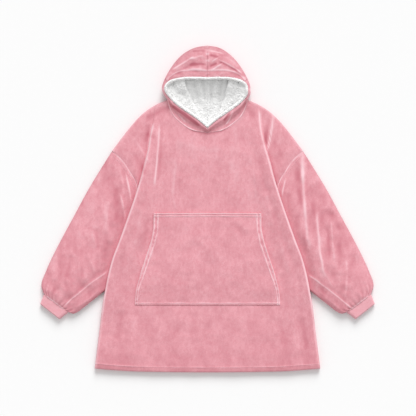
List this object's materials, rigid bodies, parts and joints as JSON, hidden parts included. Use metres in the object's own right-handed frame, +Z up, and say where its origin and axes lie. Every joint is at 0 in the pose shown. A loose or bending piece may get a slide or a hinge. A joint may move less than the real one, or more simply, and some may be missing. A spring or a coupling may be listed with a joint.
{
  "type": "sherpa hoodie",
  "caption": "Oversize pink fleece blanket hoodie with a white pile-lined hood and a kangaroo pocket, laid out flat.",
  "frame": {"origin": "on the surface that the garment lies on, under the middle of its bounding box", "axes": "+X from the wearer's right cuff to the left cuff, +Y from the hem to the hood, +Z up from the surface, out of the front"},
  "size_m": [1.11, 1.0826, 0.0539],
  "materials": {
    "fleece": "soft brushed pile",
    "cuff_knit": "fine knit",
    "pile": "curly white pile"
  },
  "bodies": {
    "root": {"front": "fleece", "back": "fleece", "pocket": "fleece", "sleeve_left": "fleece", "sleeve_right": "fleece", "cuff_left": "cuff_knit", "cuff_right": "cuff_knit", "hood_left": "fleece", "hood_right": "fleece", "hood_lining_left": "pile", "hood_lining_right": "pile"}
  },
  "joints": []
}
